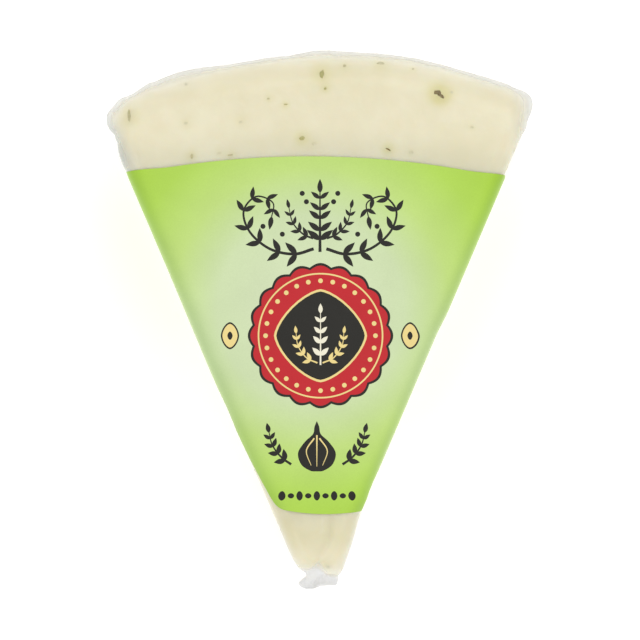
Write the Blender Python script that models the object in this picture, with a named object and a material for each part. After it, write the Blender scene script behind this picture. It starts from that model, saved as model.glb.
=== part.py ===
"""Herb goat cheese: a wedge cut from a small wheel, shrink-wrapped in clear film, with a wrap label.

The wedge lies flat on one of its two large faces, as it would on a shelf. +Z is up, the rind is
toward +Y and the tip toward -Y. The origin is the middle of the outline, on the surface below.
Lengths are millimetres and angles radians, until finish_object turns them into metres.
"""

import math

import bmesh
import bpy
from mathutils import Vector
from mathutils.geometry import delaunay_2d_cdt

METRES_PER_MM = 0.001
LEFT, RIGHT = -1, 1
SIDES = (LEFT, RIGHT)
UP, DOWN = 1, -1

# Size of the wedge: an eighth of a wheel 37 mm thick and about 200 mm across
THICKNESS = 37.0
MID_HEIGHT = THICKNESS / 2
APEX = Vector((-0.6, -56.9))  # where the two cut sides would meet, just past the blunt tip
SIDE_ANGLE = {LEFT: math.radians(23.3), RIGHT: math.radians(23.1)}
LEFT_BOW, LEFT_BOW_Y, LEFT_BOW_SPREAD = 0.25, -11.0, 14.0  # the left side swells a little here
RIND_CENTRE = Vector((1.7, -46.4))
RIND_RADIUS = 96.3
RIND_SWELLS = ((-17.0, 4.0, -0.45), (9.0, 6.0, 0.4))  # (degrees from +Y, spread, amount)
CORNER_RADIUS = {LEFT: 11.0, RIGHT: 6.5}
SIDE_EDGE = 3.0  # radius of the long edges
RIND_EDGE, RIND_EDGE_GROWTH = 4.5, 0.12  # radius of the edges along the rind, reached this far in
WALL_BULGE = 0.4  # how far the middle of a wall stands out past its top and bottom
WALL_DRAW = 0.45  # how far the label's flaps draw the cut sides in
DRAW_START = {LEFT: -22.0, RIGHT: -36.0}
DRAW_END, DRAW_FADE = 32.0, 5.0

# The large upper face
LABEL_DIP = 0.75  # the tight label draws the soft face in by this much
DIP_TO_RIND = 9.0
DIP_TO_TIP = 4.0
FACE_DOME = 0.3
GROOVE_DEPTH, GROOVE_WIDTH, GROOVE_X, GROOVE_LEAN = 0.7, 1.0, 1.7, 0.22
GROOVE_Y, GROOVE_LENGTH = -42.0, 4.5

# Film seam that runs round the rind at mid-height: (share of the way from left to right, width)
SEAM_WIDTHS = (
    (0.00, 0.0), (0.045, 0.2), (0.07, 1.6), (0.093, 3.5), (0.116, 3.1), (0.15, 1.8), (0.24, 2.5), (0.35, 1.1),
    (0.45, 1.2), (0.52, 1.9), (0.60, 1.5), (0.79, 1.3), (0.89, 1.6), (0.932, 2.8), (0.975, 0.5), (1.00, 0.0),
)
SEAM_HALF_THICKNESS = 0.35
SEAM_WAVE, SEAM_WAVES, SEAM_UNEVEN = 0.5, 4.0, 9.0  # height, how many, how unevenly spread
# Film between wall and seam: (height over the seam, share of the seam's width)
SEAM_SHOULDER = ((9.0, 0.0), (4.6, 0.10), (2.0, 0.32), (0.9, 0.60), (SEAM_HALF_THICKNESS, 1.0))

# Tip, from where the straight sides end: (y, left x, right x, half height, edge radius)
TIP_STATIONS = (
    (-40.0, -7.65, 7.05, 18.3, 3.0), (-43.3, -6.25, 6.06, 18.1, 3.0), (-46.0, -4.95, 5.10, 17.4, 3.0),
    (-47.6, -3.95, 4.50, 16.0, 2.8), (-48.5, -2.90, 4.05, 13.0, 2.0), (-49.1, -2.55, 3.55, 7.5, 1.6),
    (-49.7, -3.40, 3.40, 4.4, 1.3), (-50.4, -3.95, 3.35, 3.0, 1.1), (-51.2, -3.30, 3.20, 2.0, 0.9),
)
TIP_START = -37.0
GATHER_START, GATHER_FADE = -48.5, 1.4
TIP_SQUEEZE = 0.75
PLEATS, PLEAT_DEPTH = 3.5, 0.22
EAR_EDGE = ((0.0, -0.45), (0.3, -0.45), (0.55, 0.35), (1.0, 0.2))  # (share across, shift along y)

# Label
LABEL_THICKNESS = 0.25
LABEL_GAP = 0.3
LABEL_TOP_Y, LABEL_TOP_X, LABEL_TOP_RADIUS = 31.65, -2.4, 177.0
LABEL_FOOT_Y, LABEL_FOOT_RADIUS = -37.9, 30.0
FLAP_END_HEIGHT = 5.0
FLAP_CORNER = 4.0
FLAP_START = {LEFT: -21.0, RIGHT: -37.0}
FLAP_FULL = {LEFT: 2.0, RIGHT: -14.0}
LEFT_EDGE_TURN = math.radians(46.0)  # how far round the edge the label's lower left corner reaches
FOOT_ROUND = {LEFT: 1.2, RIGHT: 0.8}  # the corners at the tip are cut off this far up

# How finely the surfaces are divided
CORNER_COLUMNS, ARC_COLUMNS = 8, 13
EDGE_STEPS = 3
BODY_ROWS = (-37.0, -33.0, -28.0, -22.0, -16.0, -10.0, -4.0, 2.0, 8.0, 14.0, 19.0, 23.0, 27.0)
SHOULDER_ROWS = 4
LABEL_ROW_STEP = 4.4
LABEL_COLUMNS = 10
FLAP_DEPTHS = (7.0, 14.0, 21.0)
SIDE_LINE_STEP = 2.75
OUTLINE_MARGIN = 0.9  # the label's inner points keep this far from its outline
EDGE_TRIES = 6
SLOPE_STEP = 0.05
INSIDE_ONLY = 1  # the triangulation keeps what its outline encloses
MERGE_DISTANCE = 1e-4
SHARP_ANGLE = math.radians(50.0)


def smooth(value):
    """0 to 1 with level ends."""
    value = min(max(value, 0.0), 1.0)
    return value * value * (3 - 2 * value)


def between(stations, place):
    """The value at a place among (place, value) stations, with smooth steps between them."""
    for (start, low), (end, high) in zip(stations, stations[1:]):
        if place <= end:
            return low + (high - low) * smooth((place - start) / (end - start))
    return stations[-1][1]


def side_axes(side):
    """The direction along a cut side, tip to rind, and the one straight out of it."""
    angle = SIDE_ANGLE[side]
    along = Vector((side * math.sin(angle), math.cos(angle)))
    return along, Vector((side * math.cos(angle), -math.sin(angle)))


def side_x(side, y):
    """Where the silhouette of a cut side lies at this y."""
    x = APEX.x + side * math.tan(SIDE_ANGLE[side]) * (y - APEX.y)
    if side == LEFT:
        x -= LEFT_BOW * math.exp(-(((y - LEFT_BOW_Y) / LEFT_BOW_SPREAD) ** 2))
    return x


def corner_centre(side):
    """The centre of the round between a cut side and the rind."""
    radius = CORNER_RADIUS[side]
    along, outward = side_axes(side)
    start = APEX - outward * radius
    offset = start - RIND_CENTRE
    half = offset.dot(along)
    rest = offset.dot(offset) - (RIND_RADIUS - radius) ** 2
    return start + along * (math.sqrt(half * half - rest) - half)


def heading(direction):
    """The angle of a direction from +Y, positive to the right."""
    return math.atan2(direction.x, direction.y)


CORNER = {side: corner_centre(side) for side in SIDES}
ARC_END = {side: heading(CORNER[side] - RIND_CENTRE) for side in SIDES}
RIND_END = {side: heading(side_axes(side)[1]) for side in SIDES}


def rind_point(angle):
    """The point of the rind whose surface looks in this direction, and that direction."""
    outward = Vector((math.sin(angle), math.cos(angle)))
    for side in SIDES:
        if side * (angle - ARC_END[side]) > 0:
            return CORNER[side] + outward * CORNER_RADIUS[side], outward
    radius = RIND_RADIUS
    for place, spread, amount in RIND_SWELLS:
        radius += amount * math.exp(-(((math.degrees(angle) - place) / spread) ** 2))
    return RIND_CENTRE + outward * radius, outward


def rind_angles():
    """Directions of the columns from the left end of the rind to the right end."""
    stops = (RIND_END[LEFT], ARC_END[LEFT], ARC_END[RIGHT], RIND_END[RIGHT])
    counts = (CORNER_COLUMNS, ARC_COLUMNS, CORNER_COLUMNS)
    angles = [stops[0]]
    for start, end, count in zip(stops, stops[1:], counts):
        angles += [start + (end - start) * step / count for step in range(1, count + 1)]
    return angles


def rind_shares(angles):
    """How far along the rind each column stands, from 0 to 1."""
    points = [rind_point(angle)[0] for angle in angles]
    lengths = [0.0]
    for a, b in zip(points, points[1:]):
        lengths.append(lengths[-1] + (b - a).length)
    return [length / lengths[-1] for length in lengths]


ANGLES = rind_angles()
SHARES = rind_shares(ANGLES)


def label_top(x):
    """The y of the label's edge nearest the rind."""
    return LABEL_TOP_Y - (x - LABEL_TOP_X) ** 2 / (2 * LABEL_TOP_RADIUS)


def label_foot(x):
    """The y of the label's edge nearest the tip."""
    return LABEL_FOOT_Y + x * x / (2 * LABEL_FOOT_RADIUS)


def face_height(x, y):
    """Height of the large upper face, drawn in under the label and grooved near the tip."""
    free_of_label = smooth((y - label_top(x)) / DIP_TO_RIND) + smooth((LABEL_FOOT_Y - y) / DIP_TO_TIP)
    half_width = (side_x(RIGHT, max(y, TIP_START)) - side_x(LEFT, max(y, TIP_START))) / 2
    dome = FACE_DOME * (1 - min(abs(x) / half_width, 1.0) ** 2)
    groove_x = GROOVE_X + GROOVE_LEAN * (y - GROOVE_Y)
    across = (x - groove_x) / GROOVE_WIDTH
    along = (y - GROOVE_Y) / GROOVE_LENGTH
    groove = GROOVE_DEPTH * math.exp(-across * across - along**4)
    return THICKNESS - FACE_DOME - LABEL_DIP * (1 - free_of_label) + dome - groove


def wall_inset(z):
    """How far a wall lies inside its own bulge at this height."""
    return WALL_BULGE * ((z - MID_HEIGHT) / MID_HEIGHT) ** 2


def wall_draw(side, y):
    """How far the label draws this cut side in at this y."""
    start = smooth((y - DRAW_START[side]) / DRAW_FADE)
    return WALL_DRAW * start * smooth((DRAW_END - y) / DRAW_FADE)


def edge_profile(radius, top):
    """(inset, height) of a rounded edge, from the level face down to the wall."""
    points = []
    for step in range(EDGE_STEPS + 1):
        turn = math.pi / 2 * step / EDGE_STEPS
        z = top - radius * (1 - math.cos(turn))
        points.append((radius * (1 - math.sin(turn)) + wall_inset(z), z))
    return points


def side_profile(radius, top, squeeze=1.0):
    """(inset, height) down a cut side, from the face to mid-height, for the upper half."""
    heights = [MID_HEIGHT + over_seam * squeeze for over_seam, _ in SEAM_SHOULDER]
    return edge_profile(radius, top) + [(wall_inset(z), z) for z in heights]


def mirrored(profile):
    """The same profile below mid-height."""
    return [(inset, THICKNESS - z) for inset, z in profile]


def arch(ends, outwards, profiles, top_line):
    """Half a girth: up the left side, across by top_line(share), down the right side."""
    left = [ends[0] - outwards[0] * inset for inset, _ in profiles[0]]
    right = [ends[1] - outwards[1] * inset for inset, _ in profiles[1]]
    up = [Vector((*p, z)) for p, (_, z) in zip(left, profiles[0])]
    down = [Vector((*p, z)) for p, (_, z) in zip(right, profiles[1])]
    return up[:0:-1] + [top_line(up[0], down[0], share) for share in SHARES] + down[1:]


def body_girth(y):
    """One closed girth of the wedge where its sides are straight."""
    outwards = [side_axes(side)[1] for side in SIDES]
    ends = [Vector((side_x(side, y), y)) - out * wall_draw(side, y) for side, out in zip(SIDES, outwards)]
    rise = (LABEL_TOP_Y - label_top(side_x(RIGHT, y))) * smooth((y - TIP_START) / -TIP_START)

    def across(a, b, share, level):
        point = a.lerp(b, share)
        point.y += rise * (1 - (2 * share - 1) ** 2)
        point.z = face_height(point.x, point.y) if level == UP else 0.0
        return point

    tops = [face_height(*(end - out * SIDE_EDGE)) for end, out in zip(ends, outwards)]
    upper = [side_profile(SIDE_EDGE, top) for top in tops]
    lower = [mirrored(side_profile(SIDE_EDGE, THICKNESS))] * 2
    return (
        arch(ends, outwards, upper, lambda a, b, s: across(a, b, s, UP)),
        arch(ends, outwards, lower, lambda a, b, s: across(a, b, s, DOWN)),
    )


def rind_edge_radius(share):
    """The edge is rounder along the rind than at the cut sides."""
    return SIDE_EDGE + (RIND_EDGE - SIDE_EDGE) * smooth(min(share, 1 - share) / RIND_EDGE_GROWTH)


def rind_column(column, level):
    """Points of one column down the rind, from the large face to the edge of the film seam."""
    share = SHARES[column]
    point, outward = rind_point(ANGLES[column])
    radius = rind_edge_radius(share)
    inner = point - outward * radius
    top = face_height(*inner) if level == UP else THICKNESS
    width = between(SEAM_WIDTHS, share)
    fade = min(width, 1.0)
    wave = SEAM_WAVE * fade * math.sin(SEAM_WAVES * math.tau * share + math.sin(SEAM_UNEVEN * share))
    places = [(inset, z, 0.0) for inset, z in edge_profile(radius, top)]
    for over_seam, reach in SEAM_SHOULDER:
        z = MID_HEIGHT + over_seam
        places.append((wall_inset(z) - width * reach, z, reach))
    column_points = []
    for inset, z, reach in places:
        height = z if level == UP else THICKNESS - z
        column_points.append(Vector((*(point - outward * inset), height + wave * reach)))
    return column_points


def rind_patch(level):
    """Columns of the rind for the upper or the lower half."""
    return [rind_column(column, level) for column in range(len(ANGLES))]


def last_girth():
    """The girth where the corners start to turn; its face line is where the rind's edge begins."""
    arches = []
    for level in (UP, DOWN):
        patch = rind_patch(level)
        arches.append(patch[0][:0:-1] + [column[0] for column in patch] + patch[-1][1:])
    return tuple(arches)


def blended_girth(first, second, share):
    """A girth between two others, with its face line back on the face."""
    side_points = EDGE_STEPS + len(SEAM_SHOULDER)
    arches = []
    for level, a_arch, b_arch in zip((UP, DOWN), first, second):
        points = [a.lerp(b, share) for a, b in zip(a_arch, b_arch)]
        if level == UP:
            for point in points[side_points:-side_points]:
                point.z = face_height(point.x, point.y)
        arches.append(points)
    return tuple(arches)


def tip_girth(station):
    """A girth of the narrow end. The last few are the film's gathered, pleated end."""
    y, left, right, half_height, radius = station
    ends = [Vector((left, y)), Vector((right, y))]
    outwards = [Vector((side, 0.0)) for side in SIDES]
    lost = MID_HEIGHT - half_height
    squeeze = min(1.0, TIP_SQUEEZE * (half_height - radius) / SEAM_SHOULDER[0][0])
    gathered = smooth((GATHER_START - y) / GATHER_FADE)

    def across(a, b, share, level):
        point = a.lerp(b, share)
        if level == UP:
            point.z = face_height(point.x, point.y) - lost
        pleat = math.cos(PLEATS * math.tau * share) * (1 - (2 * share - 1) ** 4)
        point.z += level * gathered * PLEAT_DEPTH * half_height * pleat
        return point

    tops = [face_height(*(end - out * radius)) - lost for end, out in zip(ends, outwards)]
    upper = [side_profile(radius, top, squeeze) for top in tops]
    lower = [mirrored(side_profile(radius, THICKNESS - lost, squeeze))] * 2
    arches = (
        arch(ends, outwards, upper, lambda a, b, s: across(a, b, s, UP)),
        arch(ends, outwards, lower, lambda a, b, s: across(a, b, s, DOWN)),
    )
    for point in arches[0] + arches[1]:
        point.y += gathered * between(EAR_EDGE, (point.x - left) / (right - left))
    return arches


def bridge(mesh, first, second):
    """Quads between two closed rings of vertices."""
    count = len(first)
    for i in range(count):
        j = (i + 1) % count
        mesh.faces.new((first[i], first[j], second[j], second[i]))


def add_ring(mesh, girth):
    """The vertices of one girth: the upper half left to right, then the lower half back."""
    upper, lower = girth
    return [mesh.verts.new(point) for point in upper + lower[::-1]]


def close_rind(mesh, ring):
    """The rind and its film seam, sewn to the last ring."""
    side_points = EDGE_STEPS + len(SEAM_SHOULDER)
    half = len(ring) // 2
    seam_lines = []
    for level in (UP, DOWN):
        border = ring[:half] if level == UP else ring[half:][::-1]
        patch = rind_patch(level)
        last = len(patch) - 1
        grid = []
        for column, points in enumerate(patch):
            if column == 0:
                grid.append(border[side_points::-1])
            elif column == last:
                grid.append(border[-side_points - 1 :])
            else:
                fresh = [mesh.verts.new(point) for point in points[1:]]
                grid.append([border[side_points + column], *fresh])
        for a, b in zip(grid, grid[1:]):
            for k in range(side_points):
                mesh.faces.new((a[k], a[k + 1], b[k + 1], b[k]))
        seam_lines.append([column[-1] for column in grid])
    upper, lower = seam_lines
    for j in range(len(upper) - 1):
        mesh.faces.new((upper[j], lower[j], lower[j + 1], upper[j + 1]))


def close_tip(mesh, ring):
    """A fan over the end of the gathered film."""
    middle = Vector()
    for vertex in ring:
        middle += vertex.co / len(ring)
    hub = mesh.verts.new(middle)
    for a, b in zip(ring, ring[1:] + ring[:1]):
        mesh.faces.new((a, b, hub))


def wrapped_wedge_mesh():
    """The cheese in its film: girths from tip to rind, closed by the gather and by the rind."""
    mesh = bmesh.new()
    girths = [tip_girth(station) for station in reversed(TIP_STATIONS)]
    girths += [body_girth(y) for y in BODY_ROWS]
    shoulder, rind = girths[-1], last_girth()
    for step in range(1, SHOULDER_ROWS):
        girths.append(blended_girth(shoulder, rind, step / SHOULDER_ROWS))
    girths.append(rind)
    rings = [add_ring(mesh, girth) for girth in girths]
    for first, second in zip(rings, rings[1:]):
        bridge(mesh, first, second)
    close_tip(mesh, rings[0])
    close_rind(mesh, rings[-1])
    return mesh


def flat_edge(side, y):
    """How far from the middle line the level part of the face reaches on this side."""
    inset = SIDE_EDGE + WALL_BULGE + wall_draw(side, y)
    return abs(side_x(side, y) - middle_x(y)) - inset / math.cos(SIDE_ANGLE[side])


def middle_x(y):
    """The middle line of the face."""
    return (side_x(LEFT, y) + side_x(RIGHT, y)) / 2


EDGE_GIRTH = SIDE_EDGE * math.pi / 2


def on_skin(girth, y):
    """A point of the wedge's surface, girth mm from the middle line as a tape would measure."""
    side = RIGHT if girth > 0 else LEFT
    level = flat_edge(side, y)
    past = abs(girth) - level
    if past <= 0:
        x = middle_x(y) + girth
        return Vector((x, y, face_height(x, y)))
    top = face_height(middle_x(y) + side * level, y)
    turn = min(past / SIDE_EDGE, math.pi / 2)
    z = top - SIDE_EDGE * (1 - math.cos(turn)) - max(past - EDGE_GIRTH, 0.0)
    inset = SIDE_EDGE * (1 - math.sin(turn)) + wall_inset(z) + wall_draw(side, y)
    return Vector((side_x(side, y) - side * inset / math.cos(SIDE_ANGLE[side]), y, z))


def off_skin(girth, y, distance):
    """A point held off the surface by a distance."""
    over = on_skin(girth + SLOPE_STEP, y) - on_skin(girth - SLOPE_STEP, y)
    along = on_skin(girth, y + SLOPE_STEP) - on_skin(girth, y - SLOPE_STEP)
    return on_skin(girth, y) + over.cross(along).normalized() * distance


def flap_girth(side, y):
    """How far past the level face the label reaches on this side."""
    start, full = FLAP_START[side], FLAP_FULL[side]
    if y < start:
        share = (y - LABEL_FOOT_Y) / (start - LABEL_FOOT_Y)
        return SIDE_EDGE * (LEFT_EDGE_TURN + (math.pi / 2 - LEFT_EDGE_TURN) * share)
    wall = THICKNESS - LABEL_DIP - SIDE_EDGE - FLAP_END_HEIGHT
    to_end = label_top(side_x(side, y)) - y
    if to_end < FLAP_CORNER:
        wall -= FLAP_CORNER - math.sqrt(FLAP_CORNER**2 - (FLAP_CORNER - max(to_end, 0.0)) ** 2)
    return EDGE_GIRTH + wall * smooth((y - start) / (full - start))


def label_columns():
    """(share of the level face, distance past its edge) of the label's columns, left to right."""
    turns = [EDGE_GIRTH * step / EDGE_STEPS for step in range(1, EDGE_STEPS + 1)]
    past = turns + [EDGE_GIRTH + depth for depth in FLAP_DEPTHS]
    face = [(2 * step / LABEL_COLUMNS - 1, 0.0) for step in range(LABEL_COLUMNS + 1)]
    return [(LEFT, reach) for reach in reversed(past)] + face + [(RIGHT, reach) for reach in past]


def column_girth(column, y):
    """The girth of a column at this y."""
    place, past = column
    side = RIGHT if place > 0 else LEFT
    return place * flat_edge(side, y) + side * past


def end_line(edge):
    """(column, point) along the label's edge at the rind or the tip, left to right."""
    line = []
    for column in label_columns():
        place, past = column
        y = edge(0.0)
        for _ in range(EDGE_TRIES):
            girth = column_girth(column, y)
            y = edge(on_skin(girth, y).x)
        if past == 0 or past < flap_girth(place, y) - OUTLINE_MARGIN / 2:
            line.append((column, Vector((girth, y))))
    return line


def side_line(side, low, high):
    """The label's edge along one side, from the tip's end to the rind's end."""
    count = max(round((high - low) / SIDE_LINE_STEP), 2)
    line = []
    for step in range(count + 1):
        y = low + (high - low) * step / count
        line.append(Vector((side * (flat_edge(side, y) + flap_girth(side, y)), y)))
    return line


def inside(point, loop):
    """Whether a point is inside a closed loop, and clear of its edges."""
    within = False
    for a, b in zip(loop, loop[1:] + loop[:1]):
        run = b - a
        share = min(max((point - a).dot(run) / run.length_squared, 0.0), 1.0)
        if (a + run * share - point).length < OUTLINE_MARGIN:
            return False
        if (a.y > point.y) != (b.y > point.y):
            within ^= point.x < a.x + run.x * (point.y - a.y) / run.y
    return within


def label_outline():
    """The label's outline laid flat, and which of its points end which columns."""
    head = end_line(label_top)
    foot = end_line(label_foot)
    rind_y = {side: label_top(side_x(side, label_top(0.0))) for side in SIDES}
    left = side_line(LEFT, foot[0][1].y + FOOT_ROUND[LEFT], rind_y[LEFT])
    right = side_line(RIGHT, foot[-1][1].y + FOOT_ROUND[RIGHT], rind_y[RIGHT])
    loop = [point for _, point in foot] + right + [point for _, point in head[::-1]] + left[::-1]
    foot_of = {column: i for i, (column, _) in enumerate(foot)}
    head_of = {column: len(foot) + len(right) + i for i, (column, _) in enumerate(head[::-1])}
    return loop, foot_of, head_of


def label_sheet():
    """The label laid flat: points (girth, y) and the triangles between them."""
    loop, foot_of, head_of = label_outline()
    points = list(loop)
    fences = [(i, (i + 1) % len(loop)) for i in range(len(loop))]
    rows = int((LABEL_TOP_Y - LABEL_FOOT_Y) / LABEL_ROW_STEP)
    for column in label_columns():
        chain = [foot_of[column]] if column in foot_of else []
        for row in range(1, rows):
            y = LABEL_FOOT_Y + (LABEL_TOP_Y - LABEL_FOOT_Y) * row / rows
            point = Vector((column_girth(column, y), y))
            if inside(point, loop):
                chain.append(len(points))
                points.append(point)
        if column in head_of:
            chain.append(head_of[column])
        place, past = column
        if abs(place) == 1 and past <= EDGE_GIRTH:
            fences += zip(chain, chain[1:])
    flat, _, faces, *_ = delaunay_2d_cdt(points, fences, [], INSIDE_ONLY, MERGE_DISTANCE)
    return flat, faces


def label_mesh():
    """The label's sheet given its thickness, held just off the film."""
    mesh = bmesh.new()
    flat, faces = label_sheet()
    outer = [mesh.verts.new(off_skin(*p, LABEL_GAP + LABEL_THICKNESS)) for p in flat]
    inner = [mesh.verts.new(off_skin(*p, LABEL_GAP)) for p in flat]
    edges = set()
    for face in faces:
        mesh.faces.new([outer[i] for i in face])
        mesh.faces.new([inner[i] for i in reversed(face)])
        edges.update(zip(face, [*face[1:], face[0]]))
    for a, b in edges:
        if (b, a) not in edges:
            mesh.faces.new((outer[b], outer[a], inner[a], inner[b]))
    return mesh


def material(name, colour, roughness, coat):
    """A plain finish for one sub-part."""
    made = bpy.data.materials.new(name)
    made.use_nodes = True
    shader = made.node_tree.nodes["Principled BSDF"]
    shader.inputs["Base Color"].default_value = (*colour, 1.0)
    shader.inputs["Roughness"].default_value = roughness
    shader.inputs["Metallic"].default_value = 0.0
    shader.inputs["Coat Weight"].default_value = coat
    return made


def finish_object(name, mesh, finish):
    """Turn a mesh in millimetres into a named object in metres."""
    bmesh.ops.recalc_face_normals(mesh, faces=mesh.faces)
    bmesh.ops.scale(mesh, vec=Vector((METRES_PER_MM,) * 3), verts=mesh.verts)
    data = bpy.data.meshes.new(name)
    mesh.to_mesh(data)
    mesh.free()
    data.shade_smooth()
    data.set_sharp_from_angle(angle=SHARP_ANGLE)
    data.materials.append(finish)
    made = bpy.data.objects.new(name, data)
    bpy.context.scene.collection.objects.link(made)
    return made


def main():
    for old in list(bpy.data.objects):
        bpy.data.objects.remove(old, do_unlink=True)
    cheese_in_film = material("cheese_in_film", (0.83, 0.77, 0.55), 0.25, 0.6)
    label_print = material("label_print", (0.52, 0.76, 0.28), 0.4, 0.2)
    finish_object("wrapped_wedge", wrapped_wedge_mesh(), cheese_in_film)
    finish_object("label", label_mesh(), label_print)


main()
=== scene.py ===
"""Looks of a wrapped wedge of herb goat cheese: cheese, herb flecks, clear film and label.

The shapes follow the sizes of the wedge's solids, more finely. Lengths are millimetres and angles
radians, until place() turns a mesh into a piece in metres. +Z is up, the rind is toward +Y.
"""

import random
from itertools import accumulate
from math import atan2, copysign, cos, degrees, exp, log, pi, radians, sin, sqrt, tan, tau

import bmesh
import bpy
import numpy as np
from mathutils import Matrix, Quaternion, Vector, noise
from mathutils.bvhtree import BVHTree
from mathutils.geometry import delaunay_2d_cdt
from mathutils.kdtree import KDTree


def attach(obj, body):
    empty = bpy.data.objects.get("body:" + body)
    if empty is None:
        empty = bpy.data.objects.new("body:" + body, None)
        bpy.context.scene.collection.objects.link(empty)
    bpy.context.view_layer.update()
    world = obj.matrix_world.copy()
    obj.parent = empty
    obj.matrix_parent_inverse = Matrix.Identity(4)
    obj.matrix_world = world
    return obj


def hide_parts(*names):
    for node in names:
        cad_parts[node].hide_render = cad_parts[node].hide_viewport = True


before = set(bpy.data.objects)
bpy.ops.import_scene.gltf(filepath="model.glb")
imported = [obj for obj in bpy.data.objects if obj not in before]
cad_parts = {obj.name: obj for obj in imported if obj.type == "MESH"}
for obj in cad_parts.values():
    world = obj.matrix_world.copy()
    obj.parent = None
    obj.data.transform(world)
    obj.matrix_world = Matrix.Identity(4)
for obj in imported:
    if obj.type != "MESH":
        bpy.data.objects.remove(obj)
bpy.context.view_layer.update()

METRES_PER_MM = 0.001
MM2_PER_CM2 = 100
LEFT, RIGHT = -1, 1
SIDES = (LEFT, RIGHT)
UP, DOWN = 1, -1

# The photograph, seen from straight above
PHOTO_SIZE = 640
PHOTO_MIDDLE = 319.5
MM_PER_PIXEL = 0.1923  # at half the wedge's height
SENSOR_WIDTH = 36.0
LENS = 850.0
CLIP = (0.1, 20.0)  # metres

# Size of the wedge
THICKNESS = 37.0
MID_HEIGHT = THICKNESS / 2
APEX = Vector((-0.6, -56.9))
SIDE_ANGLE = {LEFT: radians(23.3), RIGHT: radians(23.1)}
LEFT_BOW, LEFT_BOW_Y, LEFT_BOW_SPREAD = 0.25, -11.0, 14.0
RIND_CENTRE = Vector((1.7, -46.4))
RIND_RADIUS = 96.3
RIND_SWELLS = ((-17.0, 4.0, -0.45), (9.0, 6.0, 0.4))  # (degrees from +Y, spread, how far out)
CORNER_RADIUS = {LEFT: 11.0, RIGHT: 6.5}
SIDE_EDGE = 3.0
RIND_EDGE, RIND_EDGE_GROWTH = 4.5, 0.12
WALL_BULGE = 0.4
WALL_DRAW = {LEFT: 0.25, RIGHT: 0.3}
DRAW_START = {LEFT: -22.0, RIGHT: -36.0}
DRAW_END, DRAW_FADE = {LEFT: 32.0, RIGHT: 2.0}, 5.0

# The large upper face
LABEL_DIP = 0.75
DIP_TO_RIND = 9.0
DIP_TO_TIP = 4.0
RISE_CURVE = 2.0
FACE_DOME = 0.3
GROOVE_DEPTH, GROOVE_WIDTH, GROOVE_X, GROOVE_LEAN = 0.28, 0.8, 1.7, 0.55
GROOVE_Y, GROOVE_LENGTH, GROOVE_TURN_Y = -41.5, 4.2, -41.8

# Film seam round the rind: (share of the way from left to right, width)
SEAM_WIDTHS = (
    (0.0, 0.0), (0.045, 0.2), (0.064, 1.0), (0.077, 2.8), (0.093, 3.5), (0.116, 3.1), (0.15, 1.8),
    (0.24, 2.5), (0.35, 1.1), (0.45, 1.2), (0.52, 1.9), (0.6, 1.5), (0.79, 1.3), (0.9, 1.6),
    (0.935, 2.7), (0.975, 0.5), (1.0, 0.0),
)
SEAM_TOP, SEAM_EDGE = 9.0, 0.35  # heights over the seam where it starts and ends
SEAM_CURVE = 1.3
SEAM_WAVE, SEAM_WAVES, SEAM_UNEVEN = 0.5, 4.0, 9.0
SEAM_PLEAT, SEAM_PLEATS = 0.1, 70.0
# The film is clearest at the rind's edges, and milkiest where it reaches this share of the seam
RIND_HAZE, RIND_MILK, SEAM_CLOUDS_AT = 0.03, 0.72, 1.1
CLOUD_DEPTH, CLOUDS, CLOUD_OCTAVES = 0.22, 24.0, 3  # the milk starts at uneven heights
PLEAT_SPOT, CLOUD_SPOT = (3.0, 0.5), (2.0, 1.5)  # where the noise is read, besides along the rind
SOFT_NOISE = (0.6, 2.0)  # how much weaker and finer each octave of the noise is
SWELL = 0.88  # share of the seam's width that is a round swelling of the whole rind
CHEESE_FILL = 0.75  # share of the film's swelling that the soft cheese follows
# Fuller corners of the wedge: (share of the way from left to right, how far out)
CORNER_FILL = (
    (0.0, 0.0), (0.05, 0.3), (0.085, 1.3), (0.12, 1.0), (0.17, 0.2), (0.2, 0.0), (0.88, 0.0),
    (0.93, 0.6), (0.97, 0.2), (1.0, 0.0),
)

# Tip: (y, left x, right x, half height, edge radius)
TIP_STATIONS = (
    (-40.0, -7.85, 7.05, 18.3, 3.0), (-43.3, -6.47, 6.08, 18.0, 3.0), (-46.0, -5.2, 5.15, 17.1, 3.0),
    (-47.6, -4.1, 4.58, 15.2, 2.8), (-48.4, -2.9, 4.13, 12.3, 2.2), (-49.1, -2.7, 3.63, 8.0, 1.8),
    (-49.7, -3.6, 3.48, 5.0, 1.4), (-50.4, -4.12, 3.45, 3.2, 1.1), (-51.2, -3.25, 3.25, 2.0, 0.9),
)
TIP_START, TIP_TURN = -37.0, 4.0
GATHER_START, GATHER_FADE = -48.5, 1.4
CHEESE_END = -49.75
TIP_SQUEEZE = 0.75
PLEATS, PLEAT_DEPTH = 3.5, 0.05
# Edge of the gathered end: (share of the way from left to right, change in y)
EAR_EDGE = (
    (0.0, -0.35), (0.1, -0.45), (0.3, -0.45), (0.5, 0.35), (0.75, 0.45), (0.95, 0.25), (1.0, 0.35),
)

# Milky places of the film, and a fan of pleats over the cheese's end
# A glare on the right edge, painted as extra milk on the film: a painted highlight
GLARE, GLARE_X, GLARE_Y, GLARE_WIDTH, GLARE_LENGTH = 0.4, 39.0, 36.5, 2.0, 7.5
# Painted shade of a loose crease of film along the left edge, which is milkier too
CREASE_Y, CREASE_WIDTH, CREASE_LENGTH, CREASE_HAZE = 33.0, 2.8, 5.4, 0.58
CREASE_FROM, CREASE_FADE = 9.0, 24.0
FAN_TOP, FAN_HEIGHT, FAN_HALF, FAN_LEAN = Vector((-0.15, -45.6)), 3.0, 1.75, -0.6
FAN_HAZE, FAN_LEAST, FAN_ONSET, FAN_RIM = 0.6, 0.45, 3.0, 1.5
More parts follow.
